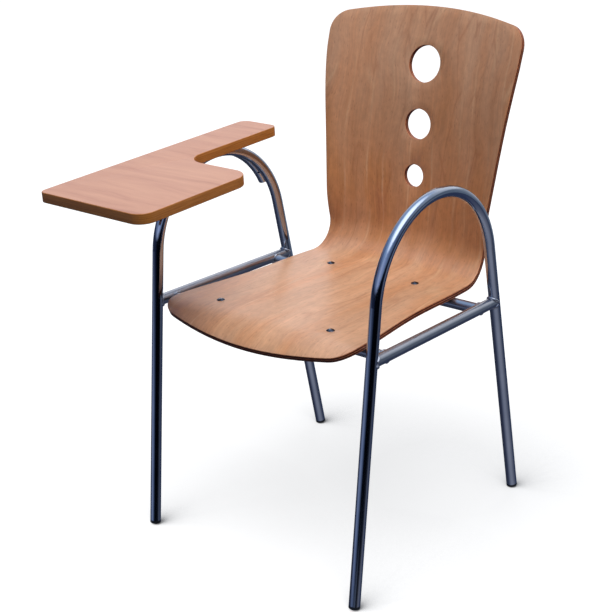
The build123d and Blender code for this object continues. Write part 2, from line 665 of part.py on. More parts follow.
def build():
    """Every sub-part by name, each a list of solids."""
    parts = {
        "left_arch_frame": [arch_frame(LEFT)],
        "right_arch_frame": [arch_frame(RIGHT)],
        "left_side_rail": [side_rail(LEFT)],
        "right_side_rail": [side_rail(RIGHT)],
        "front_crossbar": [crossbar(FRONT_CROSSBAR_Y, FRONT_BOLT_HALF_SPACING)],
        "rear_crossbar": [crossbar(REAR_CROSSBAR_Y, REAR_BOLT_HALF_SPACING)],
        "seat_shell": [seat_shell()],
        "seat_bolts": seat_bolts(),
        "seat_washers": seat_washers(),
        "seat_nuts": seat_nuts(),
        "tablet_support_tube": [support_tube()],
        "support_tube_plug": [support_tube_plug()],
        "hinge_stop_pins": hinge_stop_pins(),
        "tablet_rest_pad": [tablet_rest_pad()],
        "rear_tablet_hinge": [tablet_hinge(HINGE_Y[0])],
        "front_tablet_hinge": [tablet_hinge(HINGE_Y[1])],
        "tablet_screws": tablet_screws(),
        "tablet_board": [tablet_board()],
    }
    for side, side_name in ((LEFT, "left"), (RIGHT, "right")):
        for end, end_name in ((FRONT, "front"), (REAR, "rear")):
            parts[f"{side_name}_{end_name}_foot_glide"] = [foot_glide(side, end)]
    return parts


def main():
    parts = {}
    for name, pieces in build().items():
        parts[name] = [solid for piece in pieces for solid in piece.solids()]
    box = Compound([solid for solids in parts.values() for solid in solids]).bounding_box()
    to_footprint_centre = Vector(-box.center().X, -box.center().Y, -box.min.Z)
    os.makedirs("parts", exist_ok=True)
    for name, solids in parts.items():
        moved = [Pos(to_footprint_centre) * solid for solid in solids]
        export_step(Compound(moved) if len(moved) > 1 else moved[0], f"parts/{name}.step")
    print("moved by", to_footprint_centre, "size", box.size)


main()
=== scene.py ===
from math import radians

import bmesh
import bpy
from mathutils import Euler, Matrix, Vector
from mathutils.bvhtree import BVHTree


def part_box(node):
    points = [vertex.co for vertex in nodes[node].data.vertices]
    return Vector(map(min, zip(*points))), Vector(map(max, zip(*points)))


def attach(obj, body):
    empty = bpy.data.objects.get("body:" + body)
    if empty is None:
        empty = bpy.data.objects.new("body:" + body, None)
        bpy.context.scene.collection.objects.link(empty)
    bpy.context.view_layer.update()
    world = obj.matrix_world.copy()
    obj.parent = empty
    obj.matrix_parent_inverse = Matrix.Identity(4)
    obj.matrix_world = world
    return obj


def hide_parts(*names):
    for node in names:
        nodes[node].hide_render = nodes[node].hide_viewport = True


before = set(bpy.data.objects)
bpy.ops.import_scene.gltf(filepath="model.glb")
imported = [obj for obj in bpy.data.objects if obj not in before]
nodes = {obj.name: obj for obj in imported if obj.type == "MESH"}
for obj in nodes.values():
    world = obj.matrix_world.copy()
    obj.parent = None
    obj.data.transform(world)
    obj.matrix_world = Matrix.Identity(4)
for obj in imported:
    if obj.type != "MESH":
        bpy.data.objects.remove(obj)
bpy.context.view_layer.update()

# ---------------------------------------------------------------------------------------------
# Arch frames: each side of the chair is one 20 mm steel tube with two straight legs, bent round
# an arch of 165 mm radius, and the tablet's support tube is bent from the same stock. All three
# are polished, sprayed with a thin clear blue-grey metallic lacquer, and stoved.

POLISHED_TINT = "#ABAFB8"
POLISHED_DEEP = "#9CA2AD"
POLISHED_GLOSS = (0.07, 0.14)
TINT_DRIFT = 60
GLOSS_SMEAR = 22
ORANGE_PEEL = 1.6


def linear(hex_colour):
    channels = [int(hex_colour[i : i + 2], 16) / 255 for i in (1, 3, 5)]
    return [c / 12.92 if c <= 0.04045 else ((c + 0.055) / 1.055) ** 2.4 for c in channels] + [1.0]


def add(tree, kind, inputs=(), stops=(), **settings):
    """One node with its settings, its ramp's stops, and its inputs as links or values."""
    made = tree.nodes.new(kind)
    for name, value in settings.items():
        setattr(made, name, value)
    for place, (position, colour) in enumerate(stops):
        ramp = made.color_ramp.elements
        stop = ramp[place] if place < 2 else ramp.new(position)
        stop.position = position
        stop.color = linear(colour) if isinstance(colour, str) else (colour, colour, colour, 1.0)
    for name, value in dict(inputs).items():
        if isinstance(value, bpy.types.NodeSocket):
            tree.links.new(value, made.inputs[name])
        else:
            made.inputs[name].default_value = value
    return made


def start_material(name):
    material = bpy.data.materials.new(name)
    material.use_nodes = True
    material.node_tree.nodes.clear()
    return material, material.node_tree


def finish_material(tree, surface):
    add(tree, "ShaderNodeOutputMaterial", {"Surface": surface.outputs[0]})


def dress(names, material):
    for name in names:
        slots = nodes[name].data.materials
        slots.clear()
        slots.append(material)


def per_mm(spacing):
    return 1000 / spacing


def stoved_lacquer(name, deep, light, gloss):
    """A mirror tinted blue-grey, with a slow drift of tint and gloss, under a thin clear coat."""
    material, tree = start_material(name)
    place = add(tree, "ShaderNodeTexCoord").outputs["Object"]
    drift = add(tree, "ShaderNodeTexNoise", {"Vector": place, "Scale": per_mm(TINT_DRIFT), "Detail": 3.0})
    tint = add(tree, "ShaderNodeValToRGB", {"Fac": drift.outputs["Fac"]}, stops=[(0.35, deep), (0.7, light)])
    smear = add(
        tree,
        "ShaderNodeTexNoise",
        {"Vector": place, "Scale": per_mm(GLOSS_SMEAR), "Detail": 5.0, "Roughness": 0.65},
    )
    roughness = add(
        tree, "ShaderNodeMapRange", {"Value": smear.outputs["Fac"], "To Min": gloss[0], "To Max": gloss[1]}
    )
    peel = add(tree, "ShaderNodeTexNoise", {"Vector": place, "Scale": per_mm(ORANGE_PEEL), "Detail": 2.0})
    skin = add(tree, "ShaderNodeBump", {"Height": peel.outputs["Fac"], "Strength": 0.02, "Distance": 0.0004})
    lacquer = add(
        tree,
        "ShaderNodeBsdfPrincipled",
        {
            "Base Color": tint.outputs["Color"],
            "Metallic": 1.0,
            "Roughness": roughness.outputs["Result"],
            "Normal": skin.outputs["Normal"],
            "Coat Weight": 0.35,
            "Coat Roughness": 0.05,
        },
    )
    finish_material(tree, lacquer)
    return material


# Lacquer over polished steel: a fairly sharp mirror, in which the room shows as crisp stripes.
polished = stoved_lacquer(
    "stoved_blue_grey_lacquer_on_polished_steel", POLISHED_DEEP, POLISHED_TINT, POLISHED_GLOSS
)
dress(["left_arch_frame", "right_arch_frame", "tablet_support_tube"], polished)

# ---------------------------------------------------------------------------------------------
# Rails and crossbars: straight lengths of the same 20 mm tube, coped at their ends and welded
# between the arches, brushed where the welds were dressed and lacquered with the frames.

BRUSHED_TINT = "#AFAEB0"
BRUSHED_DEEP = "#A1A1A4"
BRUSHED_GLOSS = (0.24, 0.36)

# Lacquer over brushed steel: the same stripes, greyer and spread wide by the brushing under it.
brushed = stoved_lacquer(
    "stoved_blue_grey_lacquer_on_brushed_steel", BRUSHED_DEEP, BRUSHED_TINT, BRUSHED_GLOSS
)
dress(["left_side_rail", "right_side_rail", "front_crossbar", "rear_crossbar"], brushed)

# ---------------------------------------------------------------------------------------------
# Seat shell: one sheet of 10 mm beech plywood, seven plies of rotary-cut veneer glued in a hot
# press into a seat with a rolled front and a hollow back, then routed round its edge, drilled,
# and finished with a satin lacquer that also soaks into the edge and darkens it.

SHELL_THICKNESS = 0.010
ARRIS = 0.0009
ARRIS_BEND = radians(50)
FACE_BEND = radians(30)
SMOOTH_BEND = radians(35)
SAME_POINT = 0.000002


def select_only(piece):
    for thing in bpy.context.selected_objects:
        thing.select_set(False)
    piece.select_set(True)
    bpy.context.view_layer.objects.active = piece


def copy_of(name, new_name):
    """A merged copy of a CAD node's mesh, as a new piece in the same place."""
    piece = bpy.data.objects.new(new_name, nodes[name].data.copy())
    bpy.context.scene.collection.objects.link(piece)
    select_only(piece)
    bpy.ops.object.mode_set(mode="EDIT")
    bpy.ops.mesh.select_all(action="SELECT")
    bpy.ops.mesh.remove_doubles(threshold=SAME_POINT)
    bpy.ops.mesh.customdata_custom_splitnormals_clear()
    bpy.ops.object.mode_set(mode="OBJECT")
    piece.data.materials.clear()
    return piece


def smooth_regions(mesh, bend):
    """Numbers each face by its smooth region, whose edges turn less than bend, with their areas."""
    shape = bmesh.new()
    shape.from_mesh(mesh)
    shape.faces.ensure_lookup_table()
    region = [-1] * len(shape.faces)
    areas = []
    for first in shape.faces:
        if region[first.index] >= 0:
            continue
        number = len(areas)
        region[first.index] = number
        areas.append(0.0)
        waiting = [first]
        while waiting:
            face = waiting.pop()
            areas[number] += face.calc_area()
            for edge in face.edges:
                if len(edge.link_faces) != 2 or edge.calc_face_angle() > bend:
                    continue
                for near in edge.link_faces:
                    if region[near.index] < 0:
                        region[near.index] = number
                        waiting.append(near)
    shape.free()
    return region, areas


def broad_faces(mesh, bend):
    """The two largest smooth regions of a sheet are its two faces, and the rest is its edge."""
    region, areas = smooth_regions(mesh, bend)
    widest = sorted(range(len(areas)), key=lambda number: -areas[number])[:2]
    return [[index for index, number in enumerate(region) if number == wide] for wide in widest]


shell = copy_of("seat_shell", "bent_plywood_shell")
sheet_sides = broad_faces(shell.data, FACE_BEND)
sheet_faces = set(sheet_sides[0]) | set(sheet_sides[1])
for face in shell.data.polygons:
    face.material_index = 0 if face.index in sheet_faces else 1

# The side of the sheet that a line straight down through the seat meets first is its upper side.
corners = [vertex.co.copy() for vertex in shell.data.vertices]
side_trees = [
    BVHTree.FromPolygons(corners, [tuple(shell.data.polygons[i].vertices) for i in side])
    for side in sheet_sides
]
above_seat = Vector((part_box("seat_shell")[0].x * 0.5, 0.0, 1.0))
straight_down = Vector((0.0, 0.0, -1.0))
upper_side = max(side_trees, key=lambda side: side.ray_cast(above_seat, straight_down)[0].z)

select_only(shell)
arris = shell.modifiers.new("arris", "BEVEL")
arris.width = ARRIS
arris.segments = 2
arris.limit_method = "ANGLE"
arris.angle_limit = ARRIS_BEND
arris.material = 1
arris.harden_normals = False
bpy.ops.object.modifier_apply(modifier="arris")
bpy.ops.object.shade_smooth_by_angle(angle=SMOOTH_BEND)
depth = shell.data.attributes.new("ply_depth", "FLOAT", "POINT")
for vertex in shell.data.vertices:
    depth.data[vertex.index].value = upper_side.find_nearest(vertex.co)[3] / SHELL_THICKNESS

# Lacquered rotary-cut beech veneer: pinkish tan drifting to orange-tan, with long soft bands,
# a few ring lines that wander along the sheet, mottle, and short dark flecks, all under an even
# satin coat. The browner bend is partly the veneer's tone and partly painted shade, the back is
# darkened by painted shade, and a painted shadow of the tablet board lies on the seat's front
# corner on the tablet's side. Fibres and flecks are drawn several times coarser than real ones,
# which are too fine to show. Pattern sizes are in mm, and places on the sheet in metres.
FACE_PINK = "#CE9C77"
FACE_MID = "#CB9066"
FACE_TAN = "#C88756"
FACE_BROWN = "#B97850"
FACE_FLECK = "#7E4A32"
PALE_RING = "#DDAF86"
LATE_RING = "#A2623C"
SWAY_DEPTH = 0.055
SHEET_FRONT = 0.2
SHEET_TOP = 1.2
# Hue along the sheet, partly the veneer's own tone and partly painted shade: browner at the bend.
TONE_AND_PAINTED_SHADE_ALONG = [(0.05, 0.84), (0.25, 0.86), (0.42, 0.84), (0.50, 0.50), (0.60, 0.26), (0.72, 0.50), (0.95, 0.76)]
ZONE_SWING = 0.28
# Painted shadow of the tablet board: where it begins and is full across and along the sheet, how far it
# browns the hue, and how dark it makes the veneer.
TABLET_SHADOW_FROM_SIDE = (-0.04, -0.20)
TABLET_SHADOW_FROM_FRONT = (0.46, 0.26)
TABLET_SHADOW_BROWNING = -0.95
TABLET_SHADOW_LEVEL = 0.74
# Painted shade on the back: where along the sheet it begins and is full, and how dark it gets.
BEND_HEIGHT = (0.63, 0.71)
BACK_PAINTED_SHADE = 0.93
FLECK_SIZE = (5, 19)

beech_face, tree = start_material("satin_lacquered_beech_veneer")
place = add(tree, "ShaderNodeTexCoord").outputs["Object"]
axes = add(tree, "ShaderNodeSeparateXYZ", {"Vector": place})
along = add(tree, "ShaderNodeMath", {0: axes.outputs["Y"], 1: axes.outputs["Z"]}, operation="ADD").outputs[0]
sheet = add(tree, "ShaderNodeCombineXYZ", {"X": axes.outputs["X"], "Y": along}).outputs[0]


def streaks(tree, vector, size_x, size_y, shift, detail, roughness):
    """Noise drawn out into streaks of about the given sizes in mm along the vector's X and Y."""
    stretched = add(
        tree,
        "ShaderNodeMapping",
        {
            "Vector": vector,
            "Scale": (per_mm(size_x), per_mm(size_y), 1.0),
            "Location": (shift, 0.7 * shift, 0.0),
        },
    )
    return add(
        tree,
        "ShaderNodeTexNoise",
        {"Vector": stretched.outputs[0], "Scale": 1.0, "Detail": detail, "Roughness": roughness},
    ).outputs["Fac"]


# The grain runs along the sheet and sways from side to side.
sway = streaks(tree, sheet, 260, 240, 0.0, 2.5, 0.45)
swing = add(tree, "ShaderNodeMath", {0: sway, 1: SWAY_DEPTH}, operation="MULTIPLY")
across = add(tree, "ShaderNodeMath", {0: axes.outputs["X"], 1: swing.outputs[0]}, operation="ADD").outputs[0]
grain = add(tree, "ShaderNodeCombineXYZ", {"X": across, "Y": along}).outputs[0]

# Its hue drifts along the sheet and in wide zones, pinker on the seat and browner at the bend and
# the lower back, partly the veneer's own tone and partly painted shade and bounce light from the
# seat. It browns further in a painted shadow of the tablet board on the seat's front corner.
zone = streaks(tree, grain, 55, 420, 3.1, 2.0, 0.5)
zone_swing = add(
    tree,
    "ShaderNodeMapRange",
    {"Value": zone, "From Min": 0.3, "From Max": 0.7, "To Min": -ZONE_SWING, "To Max": ZONE_SWING},
)
along_share = add(
    tree, "ShaderNodeMapRange", {"Value": along, "From Min": SHEET_FRONT, "From Max": SHEET_TOP}
)
tone_and_shade_along = add(tree, "ShaderNodeValToRGB", {"Fac": along_share.outputs["Result"]}, stops=TONE_AND_PAINTED_SHADE_ALONG)
hue_drift = add(
    tree, "ShaderNodeMath", {0: tone_and_shade_along.outputs["Color"], 1: zone_swing.outputs["Result"]}, operation="ADD"
)
to_side = add(
    tree,
    "ShaderNodeMapRange",
    {"Value": axes.outputs["X"], "From Min": TABLET_SHADOW_FROM_SIDE[0], "From Max": TABLET_SHADOW_FROM_SIDE[1]},
)
to_front = add(
    tree,
    "ShaderNodeMapRange",
    {"Value": along, "From Min": TABLET_SHADOW_FROM_FRONT[0], "From Max": TABLET_SHADOW_FROM_FRONT[1]},
)
tablet_shadow = add(
    tree,
    "ShaderNodeMath",
    {0: to_side.outputs["Result"], 1: to_front.outputs["Result"]},
    operation="MULTIPLY",
).outputs[0]
hue = add(
    tree, "ShaderNodeMath", {0: tablet_shadow, 1: TABLET_SHADOW_BROWNING, 2: hue_drift.outputs[0]}, operation="MULTIPLY_ADD"
)
wood = add(
    tree,
    "ShaderNodeValToRGB",
    {"Fac": hue.outputs[0]},
    stops=[(0.0, FACE_BROWN), (0.25, FACE_TAN), (0.55, FACE_MID), (0.9, FACE_PINK)],
).outputs["Color"]

# Ring lines are the edges of long cells, pale ones and narrower brown ones, shown in places only.
for colour, cell, cell_shift, line, patch, patch_shift, shown_from, strength in (
    (PALE_RING, (62, 560), (0.37, 0.6, 0.0), 0.035, (70, 160), 6.1, 0.42, 0.6),
    (LATE_RING, (34, 250), (0.9, 0.2, 0.0), 0.045, (50, 120), 9.4, 0.45, 0.38),
):
    cell_map = add(
        tree,
        "ShaderNodeMapping",
        {"Vector": grain, "Scale": (per_mm(cell[0]), per_mm(cell[1]), 1.0), "Location": cell_shift},
    )
    cells = add(
        tree,
        "ShaderNodeTexVoronoi",
        {"Vector": cell_map.outputs[0], "Scale": 1.0},
        feature="DISTANCE_TO_EDGE",
    )
    ring = add(
        tree, "ShaderNodeValToRGB", {"Fac": cells.outputs["Distance"]}, stops=[(0.0, 1.0), (line, 0.0)]
    )
    shown = add(
        tree,
        "ShaderNodeMapRange",
        {
            "Value": streaks(tree, grain, *patch, patch_shift, 2.0, 0.5),
            "From Min": shown_from,
            "From Max": 0.62,
            "To Max": strength,
        },
    )
    share = add(
        tree, "ShaderNodeMath", {0: ring.outputs["Color"], 1: shown.outputs["Result"]}, operation="MULTIPLY"
    )
    mixed = {0: share.outputs[0], 6: wood, 7: linear(colour)}
    wood = add(tree, "ShaderNodeMix", mixed, data_type="RGBA").outputs[2]

# Bands, mottle and fibres lighten and darken it: width and length, shift, detail and roughness
# of the streaks, and the lightness that each reaches at its darkest and lightest. The fibres,
# the last of them, also stand up a little.
# Painted shadow of the tablet board darkens the seat's front corner on the tablet's side.
in_tablet_shadow = add(tree, "ShaderNodeMapRange", {"Value": tablet_shadow, "To Min": 1.0, "To Max": TABLET_SHADOW_LEVEL})
# Painted shade darkens the sheet from the bend up over the back.
back_painted_shade = add(
    tree,
    "ShaderNodeMapRange",
    {
        "Value": along,
        "From Min": BEND_HEIGHT[0],
        "From Max": BEND_HEIGHT[1],
        "To Min": 1.0,
        "To Max": BACK_PAINTED_SHADE,
    },
)
level = add(
    tree,
    "ShaderNodeMath",
    {0: in_tablet_shadow.outputs["Result"], 1: back_painted_shade.outputs["Result"]},
    operation="MULTIPLY",
).outputs[0]
for width, length, shift, detail, roughness, darkest, lightest in (
    (24, 640, 8.3, 2.0, 0.55, 0.925, 1.07),
    (9, 20, 5.7, 4.0, 0.6, 0.90, 1.08),
    (3.4, 90, 1.9, 3.0, 0.65, 0.915, 1.07),
):
    fibre = add(
        tree,
        "ShaderNodeMapRange",
        {
            "Value": streaks(tree, grain, width, length, shift, detail, roughness),
            "From Min": 0.3,
            "From Max": 0.7,
            "To Min": darkest,
            "To Max": lightest,
        },
    ).outputs["Result"]
    level = add(tree, "ShaderNodeMath", {0: level, 1: fibre}, operation="MULTIPLY").outputs[0]
toned = add(tree, "ShaderNodeVectorMath", {0: wood, "Scale": level}, operation="SCALE")
fleck_map = add(
    tree, "ShaderNodeMapping", {"Vector": grain, "Scale": (per_mm(FLECK_SIZE[0]), per_mm(FLECK_SIZE[1]), 1.0)}
)
fleck = add(tree, "ShaderNodeTexVoronoi", {"Vector": fleck_map.outputs[0], "Scale": 1.0, "Randomness": 1.0})
speck = add(tree, "ShaderNodeValToRGB", {"Fac": fleck.outputs["Distance"]}, stops=[(0.06, 0.34), (0.24, 0.0)])
mixed = {0: speck.outputs["Color"], 6: toned.outputs[0], 7: linear(FACE_FLECK)}
veneer = add(tree, "ShaderNodeMix", mixed, data_type="RGBA")
sheen = add(tree, "ShaderNodeMapRange", {"Value": zone, "To Min": 0.34, "To Max": 0.46})
relief = add(tree, "ShaderNodeBump", {"Height": fibre, "Strength": 0.10, "Distance": 0.0002})
lacquered = add(
    tree,
    "ShaderNodeBsdfPrincipled",
    {
        "Base Color": veneer.outputs[2],
        "Roughness": sheen.outputs["Result"],
        "Normal": relief.outputs["Normal"],
        "IOR": 1.5,
        "Coat Weight": 0.28,
        "Coat Roughness": 0.26,
    },
)
finish_material(tree, lacquered)

# Sealed plywood edge: plies seen end on, the crossing ones nearly black where their end grain
# drank the lacquer. Seven plies of 1.4 mm are too fine to show, so five of 2 mm are drawn.
EDGE_LONG = "#B86A40"
EDGE_END = "#47170B"
EDGE_GLUE = "#1C0805"
PLIES_DRAWN = 5.0
EDGE_MOTTLE = 7

ply_edge, tree = start_material("sealed_beech_plywood_edge")
place = add(tree, "ShaderNodeTexCoord").outputs["Object"]
depth_read = add(tree, "ShaderNodeAttribute", attribute_name="ply_depth")
ply = add(tree, "ShaderNodeMath", {0: depth_read.outputs["Fac"], 1: PLIES_DRAWN}, operation="MULTIPLY")
in_ply = add(tree, "ShaderNodeMath", {0: ply.outputs[0]}, operation="FRACT")
pair = add(tree, "ShaderNodeMath", {0: ply.outputs[0], 1: 0.5}, operation="MULTIPLY")
in_pair = add(tree, "ShaderNodeMath", {0: pair.outputs[0]}, operation="FRACT")
turn = add(
    tree, "ShaderNodeValToRGB", {"Fac": in_pair.outputs[0]}, stops=[(0.44, EDGE_LONG), (0.56, EDGE_END)]
)
mottle = add(
    tree,
    "ShaderNodeTexNoise",
    {"Vector": place, "Scale": per_mm(EDGE_MOTTLE), "Detail": 4.0, "Roughness": 0.65},
)
mottled = add(
    tree,
    "ShaderNodeMapRange",
    {"Value": mottle.outputs["Fac"], "From Min": 0.3, "From Max": 0.7, "To Min": 0.7, "To Max": 1.35},
)
dyed = add(
    tree,
    "ShaderNodeVectorMath",
    {0: turn.outputs["Color"], "Scale": mottled.outputs["Result"]},
    operation="SCALE",
)
glue = add(tree, "ShaderNodeValToRGB", {"Fac": in_ply.outputs[0]}, stops=[(0.0, 1.0), (0.14, 0.0)])
mixed = {0: glue.outputs["Color"], 6: dyed.outputs[0], 7: linear(EDGE_GLUE)}
edge_colour = add(tree, "ShaderNodeMix", mixed, data_type="RGBA")
edge_relief = add(
    tree, "ShaderNodeBump", {"Height": mottle.outputs["Fac"], "Strength": 0.25, "Distance": 0.0003}
)
sealed_edge = add(
    tree,
    "ShaderNodeBsdfPrincipled",
    {
        "Base Color": edge_colour.outputs[2],
        "Roughness": 0.5,
        "Normal": edge_relief.outputs["Normal"],
        "Specular IOR Level": 0.3,
    },
)
finish_material(tree, sealed_edge)

shell.data.materials.append(beech_face)
shell.data.materials.append(ply_edge)
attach(shell, "chair")
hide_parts("seat_shell")

# ---------------------------------------------------------------------------------------------
# Tablet board: 18 mm board with beech veneer pressed on both faces and a solid beech lipping
# glued round its edge, cut to its outline with the arm behind the wide part and sanded round.

LEVEL_ENOUGH = 0.9
FACE_DEPTH = 0.0006

board = copy_of("tablet_board", "veneered_tablet_board")
board_heights = [corner.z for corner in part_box("tablet_board")]
for face in board.data.polygons:
    level_face = abs(face.normal.z) > LEVEL_ENOUGH
    on_face = min(abs(face.center.z - height) for height in board_heights) < FACE_DEPTH
    face.material_index = 0 if level_face and on_face else 1
select_only(board)
bpy.ops.object.shade_smooth_by_angle(angle=SMOOTH_BEND)

# Flat-sliced beech veneer under clear satin lacquer: pale pink-beige with long faint streaks
# across the board, a fine even grain, and a sprayed skin that is very slightly pebbled.
TOP_PALE = "#C79377"
TOP_MID = "#BB866C"
TOP_STREAK = "#AA745C"
TOP_SWAYS_PER_METRE = (4.0, 7.0, 1.0)
TOP_SWAY_DEPTH = 0.05
TOP_PEBBLE = 1.4

board_veneer, tree = start_material("satin_lacquered_flat_sliced_beech_veneer")
place = add(tree, "ShaderNodeTexCoord").outputs["Object"]
axes = add(tree, "ShaderNodeSeparateXYZ", {"Vector": place})
sway_map = add(tree, "ShaderNodeMapping", {"Vector": place, "Scale": TOP_SWAYS_PER_METRE})
sway = add(tree, "ShaderNodeTexNoise", {"Vector": sway_map.outputs[0], "Scale": 1.0, "Detail": 2.0})
swing = add(tree, "ShaderNodeMath", {0: sway.outputs["Fac"], 1: TOP_SWAY_DEPTH}, operation="MULTIPLY")
across = add(tree, "ShaderNodeMath", {0: axes.outputs["Y"], 1: swing.outputs[0]}, operation="ADD").outputs[0]
grain = add(tree, "ShaderNodeCombineXYZ", {"X": axes.outputs["X"], "Y": across}).outputs[0]
streak = streaks(tree, grain, 260, 24, 0.0, 4.0, 0.6)
fine_grain = streaks(tree, grain, 24, 1.1, 0.0, 3.0, 0.7)
top_tone = add(
    tree, "ShaderNodeValToRGB", {"Fac": streak}, stops=[(0.30, TOP_STREAK), (0.44, TOP_MID), (0.68, TOP_PALE)]
)
grain_tone = add(
    tree,
    "ShaderNodeMapRange",
    {"Value": fine_grain, "From Min": 0.3, "From Max": 0.7, "To Min": 0.95, "To Max": 1.03},
)
top_colour = add(
    tree,
    "ShaderNodeVectorMath",
    {0: top_tone.outputs["Color"], "Scale": grain_tone.outputs["Result"]},
    operation="SCALE",
)
pebble = add(tree, "ShaderNodeTexNoise", {"Vector": place, "Scale": per_mm(TOP_PEBBLE), "Detail": 2.0})
top_relief = add(
    tree, "ShaderNodeBump", {"Height": pebble.outputs["Fac"], "Strength": 0.08, "Distance": 0.0002}
)
top_gloss = add(tree, "ShaderNodeMapRange", {"Value": streak, "To Min": 0.38, "To Max": 0.46})
lacquered = add(
    tree,
    "ShaderNodeBsdfPrincipled",
    {
        "Base Color": top_colour.outputs[0],
        "Roughness": top_gloss.outputs["Result"],
        "Normal": top_relief.outputs["Normal"],
        "IOR": 1.5,
    },
)
finish_material(tree, lacquered)

# Oiled beech lipping: solid wood strip, orange-brown, with fine grain running round the board.
LIP_PALE = "#BC7A3A"
LIP_DEEP = "#96571F"
LIP_GRAIN = (70, 70, 1.3)

lipping, tree = start_material("oiled_beech_lipping")
place = add(tree, "ShaderNodeTexCoord").outputs["Object"]
lip_map = add(
    tree, "ShaderNodeMapping", {"Vector": place, "Scale": tuple(per_mm(size) for size in LIP_GRAIN)}
)
lip_grain = add(
    tree, "ShaderNodeTexNoise", {"Vector": lip_map.outputs[0], "Scale": 1.0, "Detail": 4.0, "Roughness": 0.65}
)
lip_tone = add(
    tree, "ShaderNodeValToRGB", {"Fac": lip_grain.outputs["Fac"]}, stops=[(0.32, LIP_DEEP), (0.66, LIP_PALE)]
)
lip_relief = add(
    tree, "ShaderNodeBump", {"Height": lip_grain.outputs["Fac"], "Strength": 0.15, "Distance": 0.0002}
)
oiled = add(
    tree,
    "ShaderNodeBsdfPrincipled",
    {
        "Base Color": lip_tone.outputs["Color"],
        "Roughness": 0.42,
        "Normal": lip_relief.outputs["Normal"],
        "IOR": 1.5,
    },
)
finish_material(tree, oiled)

board.data.materials.append(board_veneer)
board.data.materials.append(lipping)
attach(board, "tablet")
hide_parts("tablet_board")

# ---------------------------------------------------------------------------------------------
# Seat fixings: four dome-headed M6 bolts through the shell and the crossbars, each with a thin
# washer and a cap nut below, cold-formed steel with a black-passivated zinc plate.

PASSIVATE_DARK = "#26282E"
PASSIVATE_LIGHT = "#555A63"
PAINTED_CROWN_HIGHLIGHT = "#8A8D94"
CROWN_FROM = 0.94
CROWN_FULL = 0.996
BLOOM = 3
ZINC_CRYSTAL = 0.4

# Black passivation: a dark mirror with cloudy patches, and a painted highlight on the crowns of the heads.
dark_zinc, tree = start_material("black_passivated_zinc")
coordinates = add(tree, "ShaderNodeTexCoord")
place = coordinates.outputs["Object"]
bloom = add(
    tree, "ShaderNodeTexNoise", {"Vector": place, "Scale": per_mm(BLOOM), "Detail": 4.0, "Roughness": 0.6}
)
bloom_tone = add(
    tree,
    "ShaderNodeValToRGB",
    {"Fac": bloom.outputs["Fac"]},
    stops=[(0.35, PASSIVATE_DARK), (0.7, PASSIVATE_LIGHT)],
)
bloom_gloss = add(
    tree, "ShaderNodeMapRange", {"Value": bloom.outputs["Fac"], "To Min": 0.12, "To Max": 0.26}
)
facing_up = add(tree, "ShaderNodeSeparateXYZ", {"Vector": coordinates.outputs["Normal"]}).outputs["Z"]
# Painted highlight: lighter where the surface faces straight up.
crown_highlight = add(
    tree, "ShaderNodeMapRange", {"Value": facing_up, "From Min": CROWN_FROM, "From Max": CROWN_FULL}
)
mixed = {0: crown_highlight.outputs["Result"], 6: bloom_tone.outputs["Color"], 7: linear(PAINTED_CROWN_HIGHLIGHT)}
highlighted_tone = add(tree, "ShaderNodeMix", mixed, data_type="RGBA")
crystals = add(tree, "ShaderNodeTexNoise", {"Vector": place, "Scale": per_mm(ZINC_CRYSTAL), "Detail": 2.0})
crystal_relief = add(
    tree, "ShaderNodeBump", {"Height": crystals.outputs["Fac"], "Strength": 0.1, "Distance": 0.0001}
)
passivated = add(
    tree,
    "ShaderNodeBsdfPrincipled",
    {
        "Base Color": highlighted_tone.outputs[2],
        "Metallic": 1.0,
        "Roughness": bloom_gloss.outputs["Result"],
        "Normal": crystal_relief.outputs["Normal"],
    },
)
finish_material(tree, passivated)
dress(["seat_bolts", "seat_washers", "seat_nuts"], dark_zinc)

# ---------------------------------------------------------------------------------------------
# Tablet hinges: two pressed steel straps rolled into an eye round the support tube, and the stop
# pins that run in a slot of each eye, powder-coated black after pressing. Six pan-head screws of
# cold-headed, zinc-plated steel hold the straps to the board.

POWDER_BLACK = "#17181B"
POWDER_LIGHT = "#25272B"
POWDER_DIMPLE = 1.1

# Black powder coat: paint powder melted on the steel, half matt and finely dimpled all over.
powder_coat, tree = start_material("black_powder_coat_on_pressed_steel")
place = add(tree, "ShaderNodeTexCoord").outputs["Object"]
dimples = add(
    tree,
    "ShaderNodeTexNoise",
    {"Vector": place, "Scale": per_mm(POWDER_DIMPLE), "Detail": 3.0, "Roughness": 0.6},
)
dimple_tone = add(
    tree,
    "ShaderNodeValToRGB",
    {"Fac": dimples.outputs["Fac"]},
    stops=[(0.35, POWDER_BLACK), (0.7, POWDER_LIGHT)],
)
dimple_gloss = add(
    tree, "ShaderNodeMapRange", {"Value": dimples.outputs["Fac"], "To Min": 0.34, "To Max": 0.52}
)
dimple_relief = add(
    tree, "ShaderNodeBump", {"Height": dimples.outputs["Fac"], "Strength": 0.25, "Distance": 0.0002}
)
coated = add(
    tree,
    "ShaderNodeBsdfPrincipled",
    {
        "Base Color": dimple_tone.outputs["Color"],
        "Roughness": dimple_gloss.outputs["Result"],
        "Normal": dimple_relief.outputs["Normal"],
        "IOR": 1.5,
    },
)
finish_material(tree, coated)
dress(["front_tablet_hinge", "rear_tablet_hinge", "hinge_stop_pins"], powder_coat)

# Bright zinc plate: pale grey metal, cloudy in tone and gloss, with fine drawing lines under it.
ZINC_BRIGHT = "#C9CCD2"
ZINC_GREY = "#9BA0AA"
ZINC_CLOUD = 9
DRAWING_LINES = (0.5, 14, 0.5)

